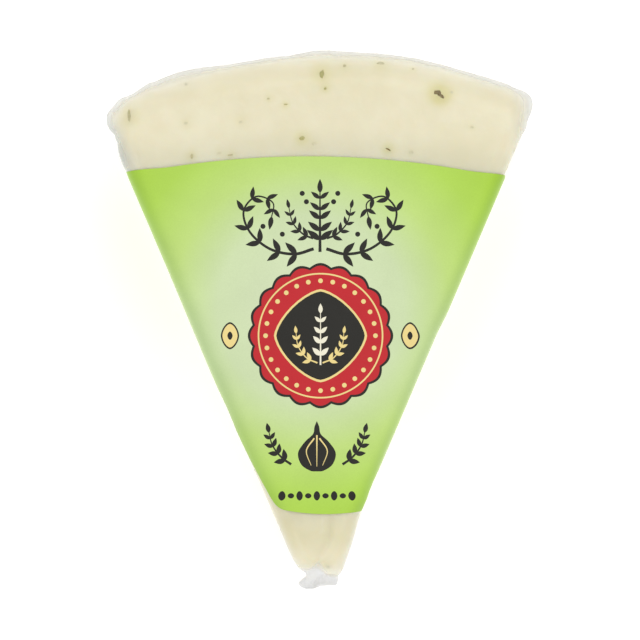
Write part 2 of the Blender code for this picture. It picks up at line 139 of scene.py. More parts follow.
# (x, y) where the gathered end turns milky
MILKY_STARTS, MILKY_FADE = ((-1.0, -47.0), (2.0, -48.7)), 1.8
# Where the gathered end turns to its whiter milk, which is partly painted light
BRIGHT_START, BRIGHT_FADE = -45.0, 2.5
WALL_HAZE, TIP_WALL_HAZE, TIP_WALL_Y, TIP_WALL_FADE = 0.07, 0.2, -36.0, 8.0
UPRIGHT_FROM, UPRIGHT_FADE = 0.9, 0.8

# Label
LABEL_THICKNESS = 0.1
LABEL_GAP, LABEL_RIM_GAP = 0.15, 0.04
LABEL_TOP_Y, LABEL_TOP_X, LABEL_TOP_RADIUS = 31.3, -2.2, 170.0
TOP_END_LIFT, TOP_END_START, TOP_END_LENGTH = 0.65, 28.0, 9.0
LABEL_FOOT_Y, LABEL_FOOT_X, LABEL_FOOT_RADIUS = -37.1, 1.0, 40.0
FLAP_END_HEIGHT = 5.0
FLAP_CORNER = 4.0
FLAP_START = {LEFT: -21.0, RIGHT: -37.0}
FLAP_FULL = {LEFT: 2.0, RIGHT: -14.0}
# Painted shade along the label's rounded upper edges, where the label turns away from the light
EDGE_SHADE_REACH, EDGE_SHADE_FROM, EDGE_SHADE_FADE = {LEFT: 4.2, RIGHT: 2.9}, 32.0, 3.5
LEFT_EDGE_TURN = radians(38.0)
FOOT_ROUND = {LEFT: 1.8, RIGHT: 1.0}

# How finely the surfaces are divided
CORNER_COLUMNS, ARC_COLUMNS = 26, 90
EDGE_STEPS = 8
BODY_END, SIDE_ROW, SHOULDER_ROWS, TIP_ROWS = 27.0, 1.5, 28, 5
WALL_ROWS = 12
SIDE_POINTS = EDGE_STEPS + WALL_ROWS
LABEL_STEP = 1.1
OUTLINE_STEP = 0.8
CLEAR_OF_PRINT = 0.22
INSIDE_ONLY = 1
MERGE_DISTANCE = 1e-4
SLOPE_STEP = 0.05
EDGE_TRIES = 6
SHARP_ANGLE = radians(50.0)

# Label cuts and print
CORNER_STEPS = 6
WALL_STEP = 2.0
CLEAR_OF_EDGE = 0.45
GREEN, BLACK, RED, CREAM, IVORY, BACKING = range(6)
PRINT_STEP = 0.45
STEM_STEPS, STEM_TAPER = 7, 0.65
LEAF_STEPS, LEAF_FULLNESS = 7, 0.8
SCALLOP_STEPS, LOZENGE_STEPS, LEAST_DISC_STEPS = 10, 40, 10
SPRAY_SHRINK, TIP_LEAF, BARE_END = 0.35, 0.8, 0.6
# Sprays: ink, points of the stem, its width, pairs of leaves, leaf length, leaf width and how many
# degrees the leaves stand off the stem
GARLAND_SCROLL = (
    (1.2, 13.6), (5.0, 12.6), (9.6, 13.6), (13.4, 16.8), (14.6, 20.8), (12.2, 23.6), (9.0, 22.4),
    (9.3, 19.4),
)
GARLAND = (
    (BLACK, GARLAND_SCROLL, 0.62, 8, 3.3, 1.25, 48.0),
    (BLACK, ((1.3, 15.6), (3.2, 16.4), (5.2, 18.6), (6.0, 21.8)), 0.45, 4, 2.3, 0.9, 42.0),
    (BLACK, ((0.0, 13.0), (0.0, 17.0), (0.0, 21.0), (0.0, 24.8)), 0.6, 5, 3.4, 1.3, 52.0),
)
CREST = (
    (CREAM, ((0.5, -8.2), (2.6, -7.2), (4.2, -4.9), (4.6, -2.2)), 0.3, 4, 1.9, 0.8, 40.0),
    (IVORY, ((0.1, -8.6), (0.1, -5.4), (0.1, -2.0), (0.1, 1.8)), 0.34, 4, 2.4, 1.05, 46.0),
)
BULB_SPRIGS = (
    (BLACK, ((4.3, -27.6), (6.2, -26.2), (7.9, -23.9), (8.6, -21.2)), 0.5, 4, 2.5, 1.15, 45.0),
)
GARLAND_BERRIES, BERRY_RADIUS = ((2.6, 22.6), (3.4, 24.2), (10.9, 17.9), (7.2, 16.4)), 0.5
ROSETTE, LOBES, LOBE_DEPTH = (0.1, -3.0), 20, 0.75
ROSETTE_RIMS = ((BLACK, 13.9), (RED, 13.4))
ROSETTE_RINGS = ((CREAM, 12.0), (RED, 11.7))
BEADS, BEAD_CIRCLE, BEAD_RADIUS = 28, 10.5, 0.46
ROSETTE_LOZENGES, LOZENGE_BOW = ((CREAM, 8.9), (BLACK, 8.45)), 1.35
SIDE_MARKS = ((BLACK, (1.75, 2.6)), (CREAM, (1.45, 2.25)), (BLACK, (0.5, 0.8)))
SIDE_MARK_X, SIDE_MARK_BOW = 17.2, 1.2
BULB_SIDE = (
    (-0.6, -19.3), (-1.05, -20.4), (-1.35, -21.8), (-2.9, -23.3), (-4.2, -25.4), (-3.6, -27.6),
    (-1.9, -28.8), (-0.6, -28.95),
)
CLOVE_LINES = (
    ((-0.6, -22.0), (-0.6, -25.0), (-0.6, -28.0)),
    ((-1.1, -22.6), (-2.6, -25.0), (-1.7, -27.8)),
)
CLOVE_WIDTH = 0.3
MARK_ROW, MARK_COUNT, MARK_STEP = (-0.6, -33.6), 9, 1.65
MARK_WIDTH, MARK_HEIGHTS, MARK_BOW = 0.62, (0.9, 0.5), 1.1

# Cheese relief and herbs
CHEESE_INSET = 0.16
RELIEF, RELIEF_SCALE, RELIEF_OCTAVES = 0.05, 0.16, 4
# Painted shade: the upper face is darkened next to the label, over these lengths toward the rind and
# the tip
LABEL_SHADE_TO_RIND, LABEL_SHADE_TO_TIP = 7.0, 10.0
# Heights where the upper face begins, for the painted shade and the stains
UPPER_FACE_FROM, UPPER_FACE_FADE = 26.0, 8.0
TIP_STAIN, TIP_STAIN_START, TIP_STAIN_FADE, TIP_STAIN_END = 0.32, -36.0, 6.0, -45.5
STRIPE_STAIN, STRIPE_WIDTH, STRIPE_END = 0.3, 0.6, -43.0
STAIN_SPREAD = 1.6
STAINS = {"dark": 0.9, "green": 0.8, "tan": 0.5, "pale": 0.25}
SEEN_FROM_ABOVE = 0.12  # faces whose normals rise more than this show in the photograph
FLAKE_SIDES = (7, 10)
FLAKE_RAGGED = (0.72, 1.12)
FLAKE_SHELF = 0.8
FLAKE_LIFT = (0.02, 0.07)
FLAKE_SINK = 0.12
SEEN_GROWTH = 1.3
HERB_SEED = 7
HERBS_PER_CM2 = 0.7
HERB_LENGTH = (0.6, 1.35)
HERB_SLIMNESS = (0.3, 0.8)
HERB_COLOURS = {
    "dark": ((0.13, 0.09, 0.02), (0.28, 0.21, 0.065)),
    "green": ((0.39, 0.36, 0.12), (0.53, 0.49, 0.21)),
    "tan": ((0.50, 0.45, 0.225), (0.63, 0.57, 0.33)),
    "pale": ((0.68, 0.64, 0.42), (0.75, 0.70, 0.48)),
}
HERB_SHARES = {"dark": 0.2, "green": 0.4, "pale": 0.4}
# Flecks of the photograph: (kind, column, row, length and width in pixels, degrees from +X)
SEEN_HERBS = (
    ("tan", 129.6, 116.5, 11.0, 3.2, 90.0), ("pale", 186.2, 84.6, 3.4, 3.0, 0.0),
    ("pale", 186.0, 124.0, 4.0, 3.0, 30.0), ("pale", 240.5, 122.8, 4.0, 2.5, 0.0),
    ("tan", 268.3, 99.6, 3.0, 1.6, 10.0), ("green", 285.4, 105.2, 3.4, 1.2, 0.0),
    ("green", 321.2, 74.8, 7.0, 5.5, 80.0), ("green", 324.7, 89.5, 2.6, 2.4, 0.0),
    ("green", 301.5, 138.9, 6.2, 3.5, 10.0), ("pale", 313.7, 144.1, 3.5, 2.5, 0.0),
    ("tan", 192.1, 156.8, 4.8, 2.8, 80.0), ("tan", 230.7, 155.6, 5.4, 1.8, 5.0),
    ("pale", 219.4, 153.4, 4.0, 2.2, 0.0), ("tan", 344.0, 66.7, 3.2, 2.6, 0.0),
    ("tan", 379.7, 64.0, 7.4, 2.8, -4.0), ("tan", 412.2, 69.8, 2.4, 1.8, 0.0),
    ("dark", 436.2, 93.5, 7.8, 4.6, -8.0), ("dark", 440.3, 97.0, 7.4, 3.4, -42.0),
    ("dark", 438.0, 95.4, 4.6, 4.0, -30.0), ("pale", 450.4, 93.1, 3.4, 2.4, 0.0),
    ("pale", 470.6, 128.0, 3.4, 2.6, 0.0), ("dark", 387.3, 150.0, 6.6, 1.5, -30.0),
    ("pale", 409.7, 153.0, 4.0, 2.4, 0.0), ("pale", 327.3, 565.0, 4.0, 3.0, 0.0),
)

# Colours, as linear amounts of light
CHEESE_COLOURS = (
    (0.36, (0.815, 0.76, 0.535)), (0.5, (0.84, 0.785, 0.57)), (0.64, (0.865, 0.815, 0.61)),
)
# Painted shade next to the label, a grey that multiplies the paste's colour
LABEL_SHADE_COLOUR = (0.90, 0.91, 0.91, 1.0)
STAIN_COLOUR = (0.89, 0.88, 0.63, 1.0)
# Painted shade along the label's upper edges
EDGE_SHADE_COLOUR = (0.77, 0.81, 0.80, 1.0)
GLOW_CENTRE = (-0.0018, 0.0022, 0.034)
GLOW_REACH = 0.045
# From the label's far corners to the middle of its glow
GREEN_COLOURS = (
    (0.0, (0.40, 0.65, 0.045)), (0.2, (0.445, 0.69, 0.090)), (0.4, (0.53, 0.725, 0.205)),
    (0.6, (0.62, 0.74, 0.43)), (1.0, (0.68, 0.76, 0.52)),
)
INK_COLOURS = {
    "black": (0.012, 0.011, 0.007), "red": (0.55, 0.012, 0.020), "cream": (0.86, 0.69, 0.27),
    "ivory": (0.88, 0.84, 0.66), "backing": (0.80, 0.82, 0.70),
}
FILM_BASE = 0.03
FILM_MILK = 0.85
FILM_GLOSS_MOST = 0.12
VEIL_COLOURS = ((0.25, (0.66, 0.668, 0.648)), (0.75, (0.69, 0.698, 0.678)))
# Painted shade of the crease: a bluish grey that multiplies the film's milk
CREASE_SHADE_COLOUR = (0.55, 0.63, 0.70, 1.0)
HAZE_SHADE = 0.35  # share of its own cover that the thin haze keeps from the light on its way in
# The gathered end's milk: whiter and more neutral, and partly painted light that lifts the shade
# cast by the cheese's end
GATHERED_MILK_AND_LIGHT = (0.715, 0.715, 0.720, 1.0)

# Stage: lengths in metres
FLOOR_SIZE, FLOOR_DROP, FLOOR_GLOW = 3.0, 0.00005, 0.28
FLOOR_COLOURS = ((0.3, (0.93, 0.93, 0.93)), (0.7, (0.95, 0.95, 0.95)))
WORLD_COLOUR, WORLD_STRENGTH = (1.0, 1.0, 1.0, 1.0), 0.80
# (name, place, diameter, watts, colour)
LIGHTS = (
    ("key", (0.40, 0.5, 1.3), 1.2, 3.6, (1.0, 1.0, 1.0)),
    ("fill", (-0.5, -0.7, 1.1), 1.0, 2.2, (1.0, 1.0, 1.0)),
)


def smooth(value):
    """0 to 1 with level ends."""
    value = min(max(value, 0.0), 1.0)
    return value * value * (3 - 2 * value)


def bell(distance, spread):
    """1 in the middle, falling softly to 0 on both sides."""
    return exp(-((distance / spread) ** 2))


def toward(angle):
    """A step of length 1 at an angle from +X."""
    return Vector((cos(angle), sin(angle)))


def spaced(low, high, count):
    """Numbers from one to another in this many even steps."""
    return [low + (high - low) * step / count for step in range(count + 1)]


def pairs(loop):
    """Each entry of a closed loop with the next one."""
    return zip(loop, [*loop[1:], loop[0]])


def between(stations, place):
    """The value at a place among (place, value) stations, in smooth steps."""
    for (start, low), (end, high) in zip(stations, stations[1:]):
        if place <= end:
            return low + (high - low) * smooth((place - start) / (end - start))
    return stations[-1][1]


# Outline and faces of the wedge


def side_axes(side):
    """Directions along a cut side, tip to rind, and straight out of it."""
    angle = SIDE_ANGLE[side]
    along = Vector((side * sin(angle), cos(angle)))
    return along, Vector((side * cos(angle), -sin(angle)))


def side_x(side, y):
    """Where the silhouette of a cut side lies at this y."""
    x = APEX.x + side * tan(SIDE_ANGLE[side]) * (y - APEX.y)
    if side == LEFT:
        x -= LEFT_BOW * bell(y - LEFT_BOW_Y, LEFT_BOW_SPREAD)
    return x


def corner_centre(side):
    """The centre of the round between a cut side and the rind."""
    radius = CORNER_RADIUS[side]
    along, outward = side_axes(side)
    start = APEX - outward * radius
    offset = start - RIND_CENTRE
    half = offset.dot(along)
    rest = offset.dot(offset) - (RIND_RADIUS - radius) ** 2
    return start + along * (sqrt(half * half - rest) - half)


def heading(direction):
    """The angle of a direction from +Y, positive to the right."""
    return atan2(direction.x, direction.y)


CORNER = {side: corner_centre(side) for side in SIDES}
ARC_END = {side: heading(CORNER[side] - RIND_CENTRE) for side in SIDES}
RIND_END = {side: heading(side_axes(side)[1]) for side in SIDES}


def rind_point(angle):
    """The point of the rind that looks in this direction, and the direction."""
    outward = Vector((sin(angle), cos(angle)))
    for side in SIDES:
        if side * (angle - ARC_END[side]) > 0:
            return CORNER[side] + outward * CORNER_RADIUS[side], outward
    radius = RIND_RADIUS
    for place, spread, amount in RIND_SWELLS:
        radius += amount * bell(degrees(angle) - place, spread)
    return RIND_CENTRE + outward * radius, outward


def rind_angles():
    """Directions of the rind's columns, left to right."""
    stops = (RIND_END[LEFT], ARC_END[LEFT], ARC_END[RIGHT], RIND_END[RIGHT])
    counts = (CORNER_COLUMNS, ARC_COLUMNS, CORNER_COLUMNS)
    angles = [stops[0]]
    for start, end, count in zip(stops, stops[1:], counts):
        angles += spaced(start, end, count)[1:]
    return angles


def rind_shares(angles):
    """How far along the rind each column stands, from 0 to 1."""
    points = [rind_point(angle)[0] for angle in angles]
    lengths = list(accumulate(((b - a).length for a, b in zip(points, points[1:])), initial=0.0))
    return [length / lengths[-1] for length in lengths]


ANGLES = rind_angles()
SHARES = rind_shares(ANGLES)


def label_top(x):
    """The y of the label's edge nearest the rind."""
    lift = TOP_END_LIFT * smooth((abs(x) - TOP_END_START) / TOP_END_LENGTH)
    return LABEL_TOP_Y - (x - LABEL_TOP_X) ** 2 / (2 * LABEL_TOP_RADIUS) + lift


def label_foot(x):
    """The y of the label's edge nearest the tip."""
    return LABEL_FOOT_Y + (x - LABEL_FOOT_X) ** 2 / (2 * LABEL_FOOT_RADIUS)


def risen(value):
    """0 to 1, steepest at the start."""
    return 1 - (1 - min(max(value, 0.0), 1.0)) ** RISE_CURVE


def groove_x(y):
    """Where the groove near the tip runs."""
    return GROOVE_X + GROOVE_LEAN * min(y - GROOVE_TURN_Y, 0.0)


def face_height(x, y):
    """Height of the upper face, drawn in under the label and grooved near the tip."""
    past_top = risen((y - label_top(x)) / DIP_TO_RIND)
    free_of_label = past_top + smooth((LABEL_FOOT_Y - y) / DIP_TO_TIP)
    half_width = (side_x(RIGHT, max(y, TIP_START)) - side_x(LEFT, max(y, TIP_START))) / 2
    dome = FACE_DOME * (1 - min(abs(x) / half_width, 1.0) ** 2)
    across = (x - groove_x(y)) / GROOVE_WIDTH
    along = (y - GROOVE_Y) / GROOVE_LENGTH
    groove = GROOVE_DEPTH * exp(-across * across - along**4)
    return THICKNESS - FACE_DOME - LABEL_DIP * (1 - free_of_label) + dome - groove


def wall_inset(z):
    """How far a wall lies inside its own bulge at this height."""
    return WALL_BULGE * ((z - MID_HEIGHT) / MID_HEIGHT) ** 2


def wall_draw(side, y):
    """How far the label draws this cut side in at this y."""
    start = smooth((y - DRAW_START[side]) / DRAW_FADE)
    return WALL_DRAW[side] * start * smooth((DRAW_END[side] - y) / DRAW_FADE)


def side_profile(radius, top, squeeze=1.0):
    """(inset, height) over a rounded edge and down a wall, from the level face to mid-height."""
    points = []
    for turn in spaced(0.0, pi / 2, EDGE_STEPS):
        z = top - radius * (1 - cos(turn))
        points.append((radius * (1 - sin(turn)) + wall_inset(z), z))
    start = (z - MID_HEIGHT) / squeeze
    for share in spaced(0.0, 1.0, WALL_ROWS)[1:]:
        z = MID_HEIGHT + squeeze * start * (SEAM_EDGE / start) ** share
        points.append((wall_inset(z), z))
    return points


def seam_reach(over, top):
    """The share of the seam's width that the film reaches here."""
    swelling = cos(pi / 2 * min(over / (top - MID_HEIGHT), 1.0))
    close = max(log(SEAM_TOP / over) / log(SEAM_TOP / SEAM_EDGE), 0.0) ** SEAM_CURVE
    return SWELL * swelling + (1 - SWELL) * close


# Girths of the film and of the cheese. A point's fourth number is how milky the film is there.


def closed_girth(ends, outwards, across, radius, squeeze=1.0, lost=0.0):
    """A closed girth as two halves, each up the left side, across and down the right."""
    tops = [face_height(*(end - out * radius)) - lost for end, out in zip(ends, outwards)]
    upper = [side_profile(radius, top, squeeze) for top in tops]
    under = [(inset, THICKNESS - z) for inset, z in side_profile(radius, THICKNESS - lost, squeeze)]
    halves = []
    for level, profiles in ((UP, upper), (DOWN, (under, under))):
        left, right = [
            [Vector((*(end - out * inset), z, 0.0)) for inset, z in profile]
            for end, out, profile in zip(ends, outwards, profiles)
        ]
        middle = [across(left[0], right[0], share, level) for share in SHARES]
        halves.append(left[:0:-1] + middle + right[1:])
    return tuple(halves)


def body_girth(y):
    """A girth of the wedge where its sides are straight."""
    outwards = [side_axes(side)[1] for side in SIDES]
    drawn = [out * wall_draw(side, y) for side, out in zip(SIDES, outwards)]
    ends = [Vector((side_x(side, y), y)) - in_by for side, in_by in zip(SIDES, drawn)]
    rise = (LABEL_TOP_Y - label_top(side_x(RIGHT, y))) * smooth((y - TIP_START) / -TIP_START)

    def across(a, b, share, level):
        point = a.lerp(b, share)
        point.y += rise * (1 - (2 * share - 1) ** 2)
        point.z = face_height(point.x, point.y) if level == UP else 0.0
        return point

    return closed_girth(ends, outwards, across, SIDE_EDGE)


def rind_column(column, level, film):
    """Points of one column down the rind, from its edge to the seam."""
    share = SHARES[column]
    point, outward = rind_point(ANGLES[column])
    filled = between(CORNER_FILL, share)
    point = point + outward * filled
    radius = SIDE_EDGE + (RIND_EDGE - SIDE_EDGE) * smooth(min(share, 1 - share) / RIND_EDGE_GROWTH)
    top = face_height(*(point - outward * radius)) if level == UP else THICKNESS
    width = max(between(SEAM_WIDTHS, share) - filled, 0.0)
    fade = min(width, 1.0)
    wave = SEAM_WAVE * fade * sin(SEAM_WAVES * tau * share + sin(SEAM_UNEVEN * share))
    spot = (share * SEAM_PLEATS, level * PLEAT_SPOT[0], PLEAT_SPOT[1])
    pleat = SEAM_PLEAT * fade * noise.noise(spot)
    spot = (share * CLOUDS, level * CLOUD_SPOT[0], CLOUD_SPOT[1])
    cloud = CLOUD_DEPTH * noise.fractal(spot, *SOFT_NOISE, CLOUD_OCTAVES)
    milk = RIND_HAZE + (RIND_MILK - RIND_HAZE) * fade
    points = []
    for inset, z in side_profile(radius, top):
        reach = seam_reach(z - MID_HEIGHT, top) * (1 if film else CHEESE_FILL)
        haze = milk * smooth(reach * (1 + cloud) / SEAM_CLOUDS_AT)
        height = z if level == UP else THICKNESS - z
        plan = point - outward * (inset - (width + pleat) * reach)
        points.append(Vector((*plan, height + wave * reach, haze)))
    return points


def rind_patch(level, film):
    """Columns of the rind for the upper or the lower half."""
    return [rind_column(column, level, film) for column in range(len(ANGLES))]


def last_girth(film):
    """The girth where the corners start to turn and the rind's edge begins."""
    halves = []
    for level in (UP, DOWN):
        patch = rind_patch(level, film)
        halves.append(patch[0][:0:-1] + [column[0] for column in patch] + patch[-1][1:])
    return tuple(halves)


def blended_girth(first, second, share):
    """A girth between two others, with its face line back on the face."""
    halves = [[a.lerp(b, share) for a, b in zip(*pair)] for pair in zip(first, second)]
    for point in halves[0][SIDE_POINTS:-SIDE_POINTS]:
        point.z = face_height(point.x, point.y)
    return tuple(halves)


def tip_girth(station):
    """A girth of the narrow end; the last few are the film's gathered end."""
    y, left, right, half_height, radius = station
    ends = [Vector((left, y)), Vector((right, y))]
    turned = smooth((TIP_START - y) / TIP_TURN)
    outwards = [side_axes(side)[1].lerp(Vector((side, 0.0)), turned).normalized() for side in SIDES]
    lost = MID_HEIGHT - half_height
    squeeze = min(1.0, TIP_SQUEEZE * (half_height - radius) / SEAM_TOP)
    gathered = smooth((GATHER_START - y) / GATHER_FADE)

    def across(a, b, share, level):
        point = a.lerp(b, share)
        if level == UP:
            point.z = face_height(point.x, point.y) - lost
        pleat = cos(PLEATS * tau * share) * (1 - (2 * share - 1) ** 4)
        point.z += level * gathered * PLEAT_DEPTH * half_height * pleat
        return point

    halves = closed_girth(ends, outwards, across, radius, squeeze, lost)
    for point in halves[0] + halves[1]:
        point.y += gathered * between(EAR_EDGE, (point.x - left) / (right - left))
        point.w = smooth((between(MILKY_STARTS, point.x) - y) / MILKY_FADE)
    return halves


def curve_through(stations, steps):
    """Points of a smooth curve through some stations."""
    rows = [np.array(station, float) for station in stations]
    rows = [2 * rows[0] - rows[1], *rows, 2 * rows[-1] - rows[-2]]
    curve = []
    for a, b, c, d in zip(rows, rows[1:], rows[2:], rows[3:]):
        for t in spaced(0.0, 1.0, steps)[:-1]:
            bend = (2 * a - 5 * b + 4 * c - d) * t**2 + (3 * b - a - 3 * c + d) * t**3
            curve.append(0.5 * (2 * b + (c - a) * t + bend))
    return curve + [rows[-2]]


def tip_rows(film):
    """Stations of the narrow end, back to where the straight sides begin."""
    start = (TIP_START, side_x(LEFT, TIP_START), side_x(RIGHT, TIP_START), MID_HEIGHT, SIDE_EDGE)
    rows = curve_through((start, *TIP_STATIONS), TIP_ROWS)[1:]
    return [row.tolist() for row in reversed(rows) if film or row[0] >= CHEESE_END]


def bridge(mesh, first, second):
    """Quads between two closed rings of vertices."""
    for (a, b), (c, d) in zip(pairs(first), pairs(second)):
        mesh.faces.new((a, b, d, c))


def add_vertex(mesh, point):
    vertex = mesh.verts.new(point.xyz)
    vertex[mesh.verts.layers.float["haze"]] = point.w
    return vertex


def add_ring(mesh, girth):
    """The vertices of a girth: its upper half, then its lower half back."""
    upper, lower = girth
    return [add_vertex(mesh, point) for point in upper + lower[::-1]]


def close_rind(mesh, ring, film):
    """The rind and its film seam, sewn to the last ring."""
    half = len(ring) // 2
    seam_lines = []
    for level in (UP, DOWN):
        border = ring[:half] if level == UP else ring[half:][::-1]
        grid = [border[SIDE_POINTS::-1]]
        for start, points in zip(border[SIDE_POINTS + 1 :], rind_patch(level, film)[1:-1]):
            grid.append([start] + [add_vertex(mesh, point) for point in points[1:]])
        grid.append(border[-SIDE_POINTS - 1 :])
        for a, b in zip(grid, grid[1:]):
            for k in range(SIDE_POINTS):
                mesh.faces.new((a[k], a[k + 1], b[k + 1], b[k]))
        seam_lines.append([column[-1] for column in grid])
    upper, lower = seam_lines
    for j in range(len(upper) - 1):
        mesh.faces.new((upper[j], lower[j], lower[j + 1], upper[j + 1]))


def close_tip(mesh, ring):
    """A fan over the narrow end."""
    middle = sum((vertex.co / len(ring) for vertex in ring), Vector((0.0, 0.0, 0.0)))
    hub = add_vertex(mesh, Vector((*middle, ring[0][mesh.verts.layers.float["haze"]])))
    for a, b in pairs(ring):
        mesh.faces.new((a, b, hub))


def wedge_mesh(film):
    """The film or the cheese: girths from tip to rind, closed at both ends."""
    mesh = bmesh.new()
    for layer in ("haze", "painted_shade_and_light", "stain_and_crease_shade"):
        mesh.verts.layers.float.new(layer)
    girths = [tip_girth(station) for station in tip_rows(film)]
    count = round((BODY_END - TIP_START) / SIDE_ROW)
    girths += [body_girth(y) for y in spaced(TIP_START, BODY_END, count)]
    shoulder, rind = girths[-1], last_girth(film)
    shares = spaced(0.0, 1.0, SHOULDER_ROWS)[1:-1]
    girths += [blended_girth(shoulder, rind, share) for share in shares] + [rind]
    rings = [add_ring(mesh, girth) for girth in girths]
    for first, second in zip(rings, rings[1:]):
        bridge(mesh, first, second)
    close_tip(mesh, rings[0])
    close_rind(mesh, rings[-1], film)
    bmesh.ops.recalc_face_normals(mesh, faces=mesh.faces)
    return mesh


def fan(point):
    """How milky the pleats are that spread over the cheese's end."""
    past = (FAN_TOP.y - point.y) / FAN_HEIGHT
    if past <= 0 or point.z < MID_HEIGHT:
        return 0.0
    across = abs(point.x - FAN_TOP.x - FAN_LEAN * past) / (FAN_HALF * past)
    haze = FAN_HAZE * (FAN_LEAST + (1 - FAN_LEAST) * min(past, 1.0))
    return haze * smooth(past * FAN_ONSET) * smooth(FAN_RIM - across)


def film_mesh():
    """The film, with the milky places that its girths don't give it, the painted shade of a crease
    and the partly painted light of its gathered end.
    """
    mesh = wedge_mesh(film=True)
    mesh.normal_update()
    haze, gather_light, crease_shade = (mesh.verts.layers.float[name] for name in ("haze", "painted_shade_and_light", "stain_and_crease_shade"))
    for vertex in mesh.verts:
        x, y, z = vertex.co
        upright = smooth((UPRIGHT_FROM - abs(vertex.normal.z)) / UPRIGHT_FADE)
        wall = WALL_HAZE + TIP_WALL_HAZE * smooth((TIP_WALL_Y - y) / TIP_WALL_FADE)
        across = bell(max(x - side_x(LEFT, y), 0.0), CREASE_WIDTH)
        along = exp(-(((y - CREASE_Y) / CREASE_LENGTH) ** 4))
        # painted shade of the crease on the left edge
        vertex[crease_shade] = across * along * smooth((z - CREASE_FROM) / CREASE_FADE)
        # painted highlight: a glare on the right edge, as extra milk
        glare = GLARE * bell(x - GLARE_X, GLARE_WIDTH) * bell(y - GLARE_Y, GLARE_LENGTH)
        milk = glare + fan(vertex.co) + CREASE_HAZE * vertex[crease_shade]
        vertex[haze] = min(vertex[haze] + milk + wall * upright, 1.0)
        # gathered end: whiter milk, partly painted light
        vertex[gather_light] = smooth((BRIGHT_START - y) / BRIGHT_FADE)
    return mesh


def add_object(name, data):
    """A new object of the scene."""
    made = bpy.data.objects.new(name, data)
    bpy.context.scene.collection.objects.link(made)
    return made


def add_mesh(name, mesh, materials):
    """A new object of the scene from a mesh and its materials."""
    data = bpy.data.meshes.new(name)
    mesh.to_mesh(data)
    mesh.free()
    for finish in materials:
        data.materials.append(finish)
    return add_object(name, data)


def place(name, mesh, materials, slot, node):
    """A mesh in millimetres made a piece in metres that stands for a CAD node."""
    bmesh.ops.scale(mesh, vec=Vector((METRES_PER_MM,) * 3), verts=mesh.verts)
    piece = add_mesh(name, mesh, materials)
    piece.data.shade_smooth()
    piece.data.set_sharp_from_angle(angle=SHARP_ANGLE)
    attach(piece, "root")
    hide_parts(node)


# Label: laid flat, a point is (girth, y), its girth measured over the surface from the middle line

EDGE_GIRTH = SIDE_EDGE * pi / 2


def middle_x(y):
    """The middle line of the face."""
    return (side_x(LEFT, y) + side_x(RIGHT, y)) / 2


def flat_edge(side, y):
    """How far from the middle line the level face reaches on this side."""
    inset = SIDE_EDGE + WALL_BULGE + wall_draw(side, y)
    return abs(side_x(side, y) - middle_x(y)) - inset / cos(SIDE_ANGLE[side])


def on_skin(girth, y):
    """The point of the surface that a tape laid from the middle line reaches."""
    side = RIGHT if girth > 0 else LEFT
    level = flat_edge(side, y)
    past = abs(girth) - level
    if past <= 0:
        x = middle_x(y) + girth
        return Vector((x, y, face_height(x, y)))
    top = face_height(middle_x(y) + side * level, y)
    turn = min(past / SIDE_EDGE, pi / 2)
    z = top - SIDE_EDGE * (1 - cos(turn)) - max(past - EDGE_GIRTH, 0.0)
    inset = SIDE_EDGE * (1 - sin(turn)) + wall_inset(z) + wall_draw(side, y)
    return Vector((side_x(side, y) - side * inset / cos(SIDE_ANGLE[side]), y, z))


def off_skin(girth, y, distance):
    """A point held off the surface by a distance."""
    over = on_skin(girth + SLOPE_STEP, y) - on_skin(girth - SLOPE_STEP, y)
    along = on_skin(girth, y + SLOPE_STEP) - on_skin(girth, y - SLOPE_STEP)
    return on_skin(girth, y) + over.cross(along).normalized() * distance


def flap_girth(side, y):
    """How far past the level face the label reaches on this side."""
    start, full = FLAP_START[side], FLAP_FULL[side]
    if y < start:
        share = (y - LABEL_FOOT_Y) / (start - LABEL_FOOT_Y)
        return SIDE_EDGE * (LEFT_EDGE_TURN + (pi / 2 - LEFT_EDGE_TURN) * share)
    wall = THICKNESS - LABEL_DIP - SIDE_EDGE - FLAP_END_HEIGHT
    return EDGE_GIRTH + wall * smooth((y - start) / (full - start))


def label_reach(side, y):
    """How far from the middle line the label reaches on this side."""
    return flat_edge(side, y) + flap_girth(side, y)


def edge_y(edge, girth):
    """Where the label's edge at the rind or the tip crosses this girth."""
    y = edge(0.0)
    for _ in range(EDGE_TRIES):
        y = edge(on_skin(girth, y).x)
    return y


def label_corner(side, edge, radius, inward):
    """A rounded corner of the label, from its end to its side; inward is the way into it in y."""
    y = edge(0.0)
    for _ in range(EDGE_TRIES):
        reach = label_reach(side, y)
        y = edge_y(edge, side * reach)
    start_girth = side * (reach - radius)
    start = Vector((start_girth, edge_y(edge, start_girth)))
    corner = Vector((side * reach, y))
    end = Vector((side * label_reach(side, y + inward * radius), y + inward * radius))
    shares = spaced(0.0, 1.0, CORNER_STEPS)
    return [start.lerp(corner, share).lerp(corner.lerp(end, share), share) for share in shares]


def steps_between(low, high, step):
    """Evenly spaced numbers strictly between two others."""
    return spaced(low, high, max(round(abs(high - low) / step), 1))[1:-1]


def label_outline():
    """The label's outline laid flat, against a clock's hands."""
    foot = {side: label_corner(side, label_foot, FOOT_ROUND[side], 1) for side in SIDES}
    head = {side: label_corner(side, label_top, FLAP_CORNER, -1) for side in SIDES}
    loop = []
    for line, other, edge, first, last in (
        (foot, head, label_foot, LEFT, RIGHT),
        (head, foot, label_top, RIGHT, LEFT),
    ):
        girths = steps_between(line[first][0].x, line[last][0].x, OUTLINE_STEP)
        heights = steps_between(line[last][-1].y, other[last][-1].y, OUTLINE_STEP)
        loop += line[first][::-1] + [Vector((girth, edge_y(edge, girth))) for girth in girths]
        loop += line[last] + [Vector((last * label_reach(last, y), y)) for y in heights]
    return loop


# Shapes of the print, as closed loops of points


def bent_curve(points):
    """A smooth line through some points."""
    return [Vector(point) for point in curve_through(points, STEM_STEPS)]


